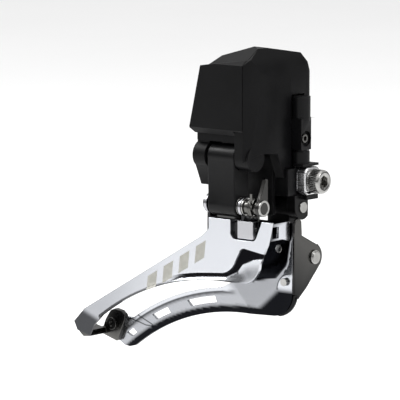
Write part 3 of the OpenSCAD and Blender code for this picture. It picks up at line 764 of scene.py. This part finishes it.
# Height of the rail along the upper edge, which is painted bright, and the width of the fold under it, which
# is painted dark
RAIL = 1.0
RAIL_FOLD = 0.4
# Painted shade of the plate between its folds, and the deepest that its face may go
PANEL_PAINTED_SHADE = 0.42
MAX_DEPTH = 0.8
# The painted dark shade on the lower rim starts at the first height above the edge and is full at the second
RIM_HEIGHTS = (3.2, 1.2)


def inner_face(x, z):
    """The inner plate's outboard side at a point, as (y, painted shade)."""
    point = (x, z)
    radius = math.dist(point, RING)
    past_first = right_of(point, CREASE_FOOT, CREASE_TOP_LEFT)
    past_second = right_of(point, CREASE_FOOT, CREASE_TOP_RIGHT)
    below_top = INNER_TOP_R - radius
    # Painted shade in the fold under the rail
    rail_fold_painted_shade = smooth((below_top - RAIL) / RAIL_FOLD) * (1 - smooth((below_top - RAIL - 0.5) / 1.4))
    # Painted highlight on the rail
    rail_painted_highlight = 0.34 * (1 - smooth((below_top - RAIL) / RAIL_FOLD))
    # Painted shade of the panel, a little darker past the first crease, plus the rail's painted highlight and
    # fold shade before it
    painted_shade = PANEL_PAINTED_SHADE + 0.1 * smooth(past_first / 0.4) + (0.5 * rail_fold_painted_shade - rail_painted_highlight) * smooth(-past_first / 3)
    depth = 0.035 * max(0, past_first)
    in_boss = math.dist(point, BOSS_CENTRE) < BOSS_R and z > BOSS_CENTRE[1] - 1
    # The facet below the boss, past the second crease, is painted darker
    if z < BOSS_CENTRE[1] + 0.2:
        painted_shade += 0.5 * smooth(past_second / 2.4) * smooth((BOSS_CENTRE[1] + 0.2 - z) / 1.2)
        depth += 0.05 * max(0, past_second)
    # The boss is painted bright at the top and darker lower down: painted highlight and shade
    if in_boss:
        painted_shade = 0.05 + 0.75 * smooth((BOSS_CENTRE[1] + 1 - z) / 2)
    if inside(point, DARK_AREA):
        recess = smooth(distance(point, DARK_BORDER) / DARK_FADE)
        painted_shade = max(painted_shade, DARKEST_PAINTED_SHADE * recess)
        depth += (DARK_DEPTH - depth) * recess
    # Painted shade along the grooves
    for groove in GROOVES:
        painted_shade = max(painted_shade, DARKEST_PAINTED_SHADE * (1 - smooth(distance(point, groove) / FOLD)))
    # Painted shade on the lower rim
    rim = smooth((INNER_EDGE_R + RIM_HEIGHTS[0] - radius) / (RIM_HEIGHTS[0] - RIM_HEIGHTS[1]))
    return INNER_Y + min(depth, MAX_DEPTH), min(DARKEST_PAINTED_SHADE, painted_shade + rim)


def make_inner_plate():
    windows = [
        arc(RING, WINDOW_R[0], a, b - 0.8, 5) + arc(RING, WINDOW_R[1], b, a + 0.4, 5)
        for a, b in WINDOW_ANGLES
    ]
    creases = [
        [CREASE_FOOT, CREASE_TOP_LEFT], [CREASE_FOOT, CREASE_TOP_RIGHT],
        DARK_BORDER, shifted(DARK_BORDER, DARK_FADE),
        arc(RING, INNER_EDGE_R + 1.2, 89, 128, 30), arc(RING, INNER_EDGE_R + 2.6, 89, 128, 30),
        arc(RING, INNER_TOP_R - RAIL, 97, 124, 24), arc(RING, INNER_TOP_R - RAIL - 0.45, 97, 124, 24),
    ]
    for groove in GROOVES:
        creases += [groove, shifted(groove, FOLD), shifted(groove, -FOLD)]
    piece = pressed_sheet(
        "inner_plate_pressed", INNER_OUTLINE, windows, creases, inner_face, INNER_BACK_Y, INNER_STEP
    )
    finish_edges(piece, INNER_ROUND, SHEET_SEGMENTS, SHEET_ANGLE)
    stand_for(piece, "inner_plate")


# ---------------------------------------------------------------- turned pieces


def round_ring(radius):
    return lambda angle: radius


def hexagon_ring(across_flats):
    def radius(angle):
        turn = (math.degrees(angle) + 30) % 60 - 30
        return across_flats / 2 / math.cos(math.radians(turn))
    return radius


def knurled_ring(radius, depth, count):
    return lambda angle: radius - depth * (0.5 + 0.5 * math.cos(count * angle)) ** 2


def lathe_x(name, centre, rings, segments):
    """A closed turned solid along x from rings of (x, radius function), with its centre as (y, z)."""
    verts = []
    for x, radius in rings:
        for i in range(segments):
            angle = 2 * math.pi * i / segments
            r = radius(angle)
            place = (x, centre[0] + r * math.cos(angle), centre[1] + r * math.sin(angle))
            verts.append(tuple(c * MM for c in place))
    faces = []
    for ring in range(len(rings) - 1):
        for i in range(segments):
            a, b = ring * segments + i, ring * segments + (i + 1) % segments
            faces.append((a, b, b + segments, a + segments))
    faces.append(tuple(reversed(range(segments))))
    faces.append(tuple(range((len(rings) - 1) * segments, len(rings) * segments)))
    mesh = bpy.data.meshes.new(name)
    mesh.from_pydata(verts, [], faces)
    clean(mesh)
    return link(bpy.data.objects.new(name, mesh))


BOLT_SEGMENTS = 216
SHANK_R = 2.5
HEAD_LENGTH = 5.1
HEAD_R = 4.25
KNURLS = 36
KNURL_DEPTH = 0.24
# Edges of the bolt sharper than this angle stay crisp
BOLT_CREASE = 38


def make_clamp_bolt():
    low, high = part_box("clamp_bolt")
    tip, end = low.x / MM, high.x / MM
    head = end - HEAD_LENGTH
    knurl = knurled_ring(HEAD_R, KNURL_DEPTH, KNURLS)
    shank = [(tip, round_ring(2.1)), (tip + 0.4, round_ring(SHANK_R)), (head, round_ring(SHANK_R))]
    underside = [(head, round_ring(3.9)), (head + 0.25, round_ring(4.15)), (head + 0.6, round_ring(4.2))]
    side = [(head + 0.75, knurl), (end - 1.1, knurl), (end - 0.9, round_ring(4.15))]
    rim = [(end - 0.55, round_ring(4.1)), (end - 0.12, round_ring(3.72)), (end, round_ring(3.55))]
    socket = [
        (end, round_ring(2.85)), (end - 0.3, hexagon_ring(4.1)), (end - 3, hexagon_ring(4.0)),
        (end - 3.6, round_ring(0.3)),
    ]
    rings = shank + underside + side + rim + socket
    piece = lathe_x("clamp_bolt_turned", (0, 0), rings, BOLT_SEGMENTS)
    for polygon in piece.data.polygons:
        polygon.use_smooth = True
    piece.data.set_sharp_from_angle(angle=math.radians(BOLT_CREASE))
    stand_for(piece, "clamp_bolt")


SPRING_R = 3.2
WIRE_R = 0.44
SPRING_TURNS = 2.5
SPRING_LEG = 5.2
SPRING_STEPS = 90


def make_saver_spring():
    """One wound wire: a leg down, the coils and a leg up along the lever."""
    low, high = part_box("saver_spring")
    pin_low, pin_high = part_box("outer_lower_pin")
    centre = (pin_low + pin_high) / 2 / MM
    first_x = low.x / MM + WIRE_R
    last_x = high.x / MM - WIRE_R
    points = [(first_x, centre.y + SPRING_R, centre.z - SPRING_LEG)]
    for i in range(SPRING_STEPS + 1):
        turn = 2 * math.pi * SPRING_TURNS * i / SPRING_STEPS
        x = first_x + (last_x - first_x) * i / SPRING_STEPS
        points.append((x, centre.y + SPRING_R * math.cos(turn), centre.z + SPRING_R * math.sin(turn)))
    points.append((last_x, centre.y - SPRING_R, centre.z + SPRING_LEG))
    data = bpy.data.curves.new("saver_spring_wound", "CURVE")
    data.dimensions = "3D"
    data.bevel_depth = WIRE_R * MM
    data.bevel_resolution = 4
    data.use_fill_caps = True
    spline = data.splines.new("POLY")
    spline.points.add(len(points) - 1)
    for target, point in zip(spline.points, points):
        target.co = (*(c * MM for c in point), 1)
    stand_for(link(bpy.data.objects.new("saver_spring_wound", data)), "saver_spring")


# ---------------------------------------------------------------- assembly

# Width of the rounding on each piece's edges
EDGE_WIDTHS = {
    "main_housing": 0.5, "motor_cover": 0.5, "mount_bracket": 0.14, "outer_link": 0.5, "inner_link": 0.3,
    "cage_bracket": 0.2, "front_bridge": 0.3, "rear_bridge": 0.25, "front_bracket": 0.35,
    "radius_washer": 0.7, "support_bolt": 0.1, "cover_screws": 0.15, "bracket_screws": 0.12,
    "inner_upper_pin": 0.2, "inner_lower_pin": 0.2, "outer_lower_pin": 0.15, "output_shaft": 0.15,
    "pin_washers": 0.12, "spring_bush": 0.15, "saver_lever": 0.25, "tail_bracket": 0.3,
    "tail_screw": 0.15, "plate_rivets": 0.12, "cable_socket": 0.2, "outer_link_bushes": 0.1,
}
EDGE_SEGMENTS = 3
# Edges of the moulded shells that meet one shorter than this are rounded less
FULL_ROUND = {"main_housing": 2, "motor_cover": 2}


def even(shade):
    """One painted shade all over a piece."""
    return lambda x, y, z: shade


# Painted shade and painted reflections of the plated pieces: the front bracket is painted darker downwards,
# the tab in the notch stays bright and the rest of the cage bracket is painted dark behind the outer plate;
# the others are painted darker in part or all over
PAINTED_SHADES = {
    "front_bracket": lambda x, y, z: 0.35 + 0.6 * smooth((-24 - z) / 12),
    "cage_bracket": lambda x, y, z: 0.0 if y < -23.6 else 0.95,
    "front_bridge": lambda x, y, z: 0.9 if y < -18.7 else 0.0,
    "rear_bridge": even(0.9),
    "outer_lower_pin": even(0.6),
    "saver_lever": even(0.6),
    "tail_bracket": lambda x, y, z: 0.1 if z < -61 else 0.8,
    "tail_screw": even(0.5),
}
# Pieces that look different from the rest of their slot
PIECE_MATERIALS = {
    # Each plating's second colour is its painted shade and reflection
    "cage_bracket": plated("tab_plating", (0.42, 0.42, 0.44), (0.01, 0.01, 0.011), 0.2).material,
    "radius_washer": plated("washer_plating", (0.62, 0.62, 0.63), (0.02, 0.02, 0.02), 0.24).material,
    "outer_link_bushes": MATERIALS["bright_steel"],
}


def dress_cad_nodes():
    """Every CAD node gets its material, including the ones inside the housing."""
    for node, obj in NODES.items():
        obj.data.materials.clear()
        obj.data.materials.append(MATERIALS[SLOT_OF[node]])


make_camera()
make_world()
make_floor()
for softbox in SOFTBOXES:
    make_softbox(*softbox)
dress_cad_nodes()
for node, width in EDGE_WIDTHS.items():
    skin(node, width, EDGE_SEGMENTS, PAINTED_SHADES.get(node), FULL_ROUND.get(node, 0), PIECE_MATERIALS.get(node))
make_outer_plate()
make_inner_plate()
make_clamp_bolt()
make_saver_spring()
bpy.context.scene.view_settings.view_transform = "Standard"
